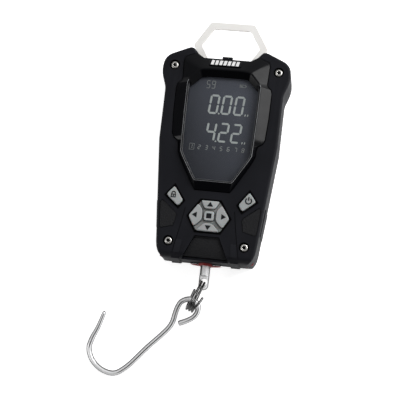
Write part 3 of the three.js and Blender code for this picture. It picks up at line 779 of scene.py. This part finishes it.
# ---- Painted shade around the keys, and seals ------------------------------------------------------------
def key_gap_shades():
    """Black bands, just proud of the case, that paint the shade in the gaps around the keys."""
    pad = mirrored([(7.1, -45.9), (12, -37.5), (5.6, -27.8)])
    right = [(18.95, -32.4), (26.4, -26.1), (22.15, -20.7), (16.35, -28.8)]
    left = [(-x, y) for x, y in reversed(right)]
    top = CASE_Z + 0.06
    for name, outline in (("pad_gap_shade", pad), ("power_gap_shade", right), ("hold_gap_shade", left)):
        shape = Shape().ring_slab(offset(outline, 1.15), offset(outline, 0.14), top - 1.4, top)
        add_piece(name, shape.mesh(name), "case", "painted_shade_black")


SEAM_Z = 14.0  # height at which the two shells meet
SEAM_HALF = 0.12


def seam_line():
    """The red gasket's edge between the two shells: one run up each side, clear of shaft and handle."""
    side = [
        (9.5, -63.6), (14, -63.6), (24.3, -63.2), (28.0, -61.2), (28.9, -57.5), (30.9, -40), (33.8, -10),
        (35.4, 8), (35.6, 40), (38.2, 47.5), (38.8, 51.5), (38.3, 57.2), (35.3, 60.8), (23.0, 66.2),
    ]
    whole = mirrored(side)
    outer = offset(whole, -0.35)
    inner = offset(whole, -1.4)
    count = len(side)
    for name, first in (("right_seam_line", 0), ("left_seam_line", count)):
        rings = []
        for (x, y), (u, v) in zip(outer[first:first + count], inner[first:first + count]):
            low, high = SEAM_Z - SEAM_HALF, SEAM_Z + SEAM_HALF
            rings.append([(x, y, low), (x, y, high), (u, v, high), (u, v, low)])
        add_piece(name, Shape().rings(rings).mesh(name), "case", "red_silicone")


# ---- Key legends and badge -------------------------------------------------------------------------------
KEY_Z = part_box("centre_key")[1].z / MM
LEGEND_Z = (KEY_Z - 0.05, KEY_Z + 0.06)


def middle_of(node):
    lo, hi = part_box(node)
    return (lo + hi) / 2 / MM


def legend(key, shape):
    add_piece(key + "_legend", shape.mesh(key + "_legend"), key, "legend_ink")


def arrow_legends():
    """A triangle on each direction key, pointing outwards, and a square on the centre key."""
    pad = middle_of("centre_key")
    for key in ("up_key", "down_key", "left_key", "right_key"):
        place = middle_of(key)
        out = Vector((place.x - pad.x, place.y - pad.y)).normalized()
        side = Vector((-out.y, out.x))
        middle = Vector((place.x, place.y)) + out * (0.15 if key in ("up_key", "down_key") else 0.5)
        tip = middle + out * 1.7
        corners = [tip, middle - out * 1.15 + side * 1.75, middle - out * 1.15 - side * 1.75]
        legend(key, Shape().slab([(c.x, c.y) for c in corners], *LEGEND_Z))
    half = 1.5
    square = [(pad.x + i * half, pad.y + j * half) for i, j in ((-1, -1), (1, -1), (1, 1), (-1, 1))]
    legend("centre_key", Shape().slab(square, *LEGEND_Z))


def arc_band(shape, x, y, radius, thick, start, end, steps=20):
    """A flat circular band between two angles in degrees."""
    angles = [math.radians(start + (end - start) * k / steps) for k in range(steps + 1)]
    outer = [(x + (radius + thick / 2) * math.cos(a), y + (radius + thick / 2) * math.sin(a)) for a in angles]
    inner = [(x + (radius - thick / 2) * math.cos(a), y + (radius - thick / 2) * math.sin(a)) for a in angles]
    for k in range(steps):
        corners = [inner[k], outer[k], outer[k + 1], inner[k + 1]]
        shape.slab(corners, *LEGEND_Z)


def power_legend():
    """A ring broken at the top by a short bar."""
    place = middle_of("power_key")
    x, y = place.x + 0.7, place.y + 0.7
    shape = Shape()
    arc_band(shape, x, y, 1.75, 0.75, 125, 415)
    bar = [(x - 0.36, y + 0.2), (x + 0.36, y + 0.2), (x + 0.36, y + 2.4), (x - 0.36, y + 2.4)]
    shape.slab(bar, *LEGEND_Z)
    legend("power_key", shape)


def hold_legend():
    """A closed padlock: body, shackle and keyhole."""
    place = middle_of("hold_key")
    x, y = place.x - 0.9, place.y + 0.5
    shape = Shape()
    body = [(x - 1.5, y - 1.7), (x + 1.5, y - 1.7), (x + 1.5, y + 0.5), (x - 1.5, y + 0.5)]
    shape.ring_slab(body, offset(body, -0.6), *LEGEND_Z)
    arc_band(shape, x, y + 0.9, 1.0, 0.62, 0, 180)
    for side in (-1, 1):
        leg = [(x + side * 1.0 - 0.22, y + 0.4), (x + side * 1.0 + 0.22, y + 0.4)]
        leg += [(x + side * 1.0 + 0.22, y + 0.95), (x + side * 1.0 - 0.22, y + 0.95)]
        shape.slab(leg, *LEGEND_Z)
    dot(shape, x, y - 0.6, 0.42, 10, *LEGEND_Z)
    legend("hold_key", shape)


def badge_bars():
    """A plain row of slanting white bars on the plate above the display."""
    lo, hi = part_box("badge_plate")
    slope = math.atan2(RIM_Z - CASE_Z - 0.3, 6.8)
    middle = (lo + hi) / 2 / MM
    place = Matrix.Translation((middle.x, middle.y, middle.z)) @ Matrix.Rotation(-slope, 4, "X")
    shape = Shape()
    count, pitch, width, tall, lean = 7, 2.5, 1.75, 3.5, 0.55
    for i in range(count):
        x = (i - (count - 1) / 2) * pitch
        corners = [(x - width / 2 - lean / 2, -tall / 2), (x + width / 2 - lean / 2, -tall / 2)]
        corners += [(x + width / 2 + lean / 2, tall / 2), (x - width / 2 + lean / 2, tall / 2)]
        shape.slab(corners, 0.2, 0.42, 0.06)
    add_piece("badge_bars", shape.mesh("badge_bars", place=place), "case", "mark_ink")


# ---- Screws ----------------------------------------------------------------------------------------------
def case_screws():
    """Domed heads with a six-lobed recess, on the CAD screws' places."""
    sides = 48
    turn = [2 * math.pi * k / sides for k in range(sides)]
    for name in [n for n in frame["nodes"] if n.startswith("case_screw")]:
        lo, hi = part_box(name)
        x, y = (lo.x + hi.x) / 2 / MM, (lo.y + hi.y) / 2 / MM
        top = hi.z / MM
        head = (hi.x - lo.x) / 2 / MM

        def circle(r, z):
            return [(x + r * math.cos(a), y + r * math.sin(a), z) for a in turn]

        def lobes(r, z):
            return [(x + r * (1 + 0.2 * math.cos(6 * a)) * math.cos(a),
                     y + r * (1 + 0.2 * math.cos(6 * a)) * math.sin(a), z) for a in turn]

        rings = [circle(1.0, lo.z / MM), circle(1.0, top - 1.7), circle(head - 0.1, top - 1.7)]
        rings += [circle(head, top - 1.6), circle(head, top - 0.75)]
        for k in range(1, 5):
            a = math.radians(18 * k)
            rings.append(circle(head * (0.62 + 0.38 * math.cos(a)), top - 0.75 + 0.7 * math.sin(a)))
        rings += [lobes(1.22, top - 0.02), lobes(1.1, top - 0.12), lobes(1.0, top - 1.1)]
        rings.append(circle(0.3, top - 1.25))
        mesh = Shape().rings(rings).mesh(name + "_head", smooth=True)
        obj = add_piece(name + "_head", mesh, "case", "screw_steel", [name])
        smooth_by_angle(obj)
        # A dark piece inside the recess is its painted shadow.
        recess_shadow = Shape().rings([lobes(1.04, top - 1.2), lobes(1.04, top - 0.42)])
        add_piece(name + "_recess_shadow", recess_shadow.mesh(name + "_recess_shadow"), "case", "painted_shade_black")


# ---- Wires -----------------------------------------------------------------------------------------------
def hook_wire():
    """The hook's round wire: a tapered round tip, a long shank and an open eye with a cut end."""
    rise = 7.4 / 63.5
    bend = Vector((-52, -131.8))
    along = Vector((0.693, 0.72)).normalized()
    wire = 3.2
    route = [
        (-58, -95.8), (-60.9, -105.4), (-64.1, -113.2), (-65, -118.7), (-62.2, -125.3), (-55.8, -130.3),
        (-48.3, -131.6), (-41.9, -127.9), (-30, -114.8), (-18.2, -101.9), (-16.2, -97.8), (-15.4, -93.6),
        (-14.4, -89.7), (-12.6, -86.3), (-9.8, -84.6), (-7.3, -84.1), (-4.5, -84.9), (-2.7, -86.6),
        (-2, -89.2), (-2.5, -92), (-4.4, -94.6), (-7.6, -96.7), (-12.6, -98.9),
    ]
    points = spline([(x, y, wire / 2 + 0.1 + (Vector((x, y)) - bend).dot(along) * rise) for x, y in route])

    def radius(t):
        taper = wire / 2 * min(1, 0.74 + 0.26 * (t / 0.09))
        tip = math.sqrt(max(0.02, 1 - (1 - min(1, t / 0.008)) ** 2))
        cut = 1 - 0.12 * max(0, (t - 0.995) / 0.005)
        return taper * tip * cut

    shape = Shape().rings(sweep(points, radius, 24))
    add_piece("hook_wire", shape.mesh("hook_wire", smooth=True), "hook", "chrome", ["hook"])


RING_WIRE = 1.45
RING_R = 9.2
RING_PITCH = 1.75
RING_START, RING_END = 0.2, 2.78  # turns from the shaft's cross hole
RING_SPLAY = 1.3  # how far the free end stands off the turn beside it
RING_HEADING, RING_DROOP, RING_ROLL = 21.5, 8, 10.6  # degrees
RING_HOLE = Vector((-0.3, -74, 14))  # where the ring crosses the shaft's eye


def ring_axes():
    """The ring's frame: x from its centre towards the cross hole, y upright, z across; and its centre."""
    heading, droop, roll = (math.radians(angle) for angle in (RING_HEADING, RING_DROOP, RING_ROLL))
    level = math.cos(droop)
    away = Vector((-math.sin(heading) * level, -math.cos(heading) * level, -math.sin(droop)))
    across = Matrix.Rotation(roll, 3, -away) @ (-away).cross(Vector((0, 0, 1))).normalized()
    axes = Matrix((-away, across.cross(-away), across)).transposed()
    return axes, RING_HOLE + away * RING_R


def ring_turns():
    """Close turns of spring wire, the free end lifted away from the turn beside it."""
    axes, centre = ring_axes()
    count = 260
    points = []
    for k in range(count + 1):
        turn = RING_START + (RING_END - RING_START) * k / count
        angle = -2 * math.pi * turn
        ease = min(1, max(0, (turn - RING_END + 0.17) / 0.17))
        across = RING_PITCH * (turn - 1.5) + RING_SPLAY * ease * ease * (3 - 2 * ease)
        points.append(centre + axes @ Vector((RING_R * math.cos(angle), RING_R * math.sin(angle), across)))

    def thick(t):
        end = min(t, 1 - t)
        return RING_WIRE / 2 * math.sqrt(max(0.3, 1 - (1 - min(1, end / 0.004)) ** 2))

    shape = Shape().rings(sweep(points, thick, 16))
    mesh = shape.mesh("ring_turns", smooth=True)
    add_piece("ring_turns", mesh, "ring", "spring_chrome", ["split_ring"])


make_camera()
make_studio()
dress_nodes()
bezel_frame()
rim_lines()
reading("upper_reading", "000", 25.7)
reading("lower_reading", "422", 8.6)
small_readings()
arrow_legends()
power_legend()
hold_legend()
badge_bars()
key_gap_shades()
seam_line()
case_screws()
hook_wire()
ring_turns()
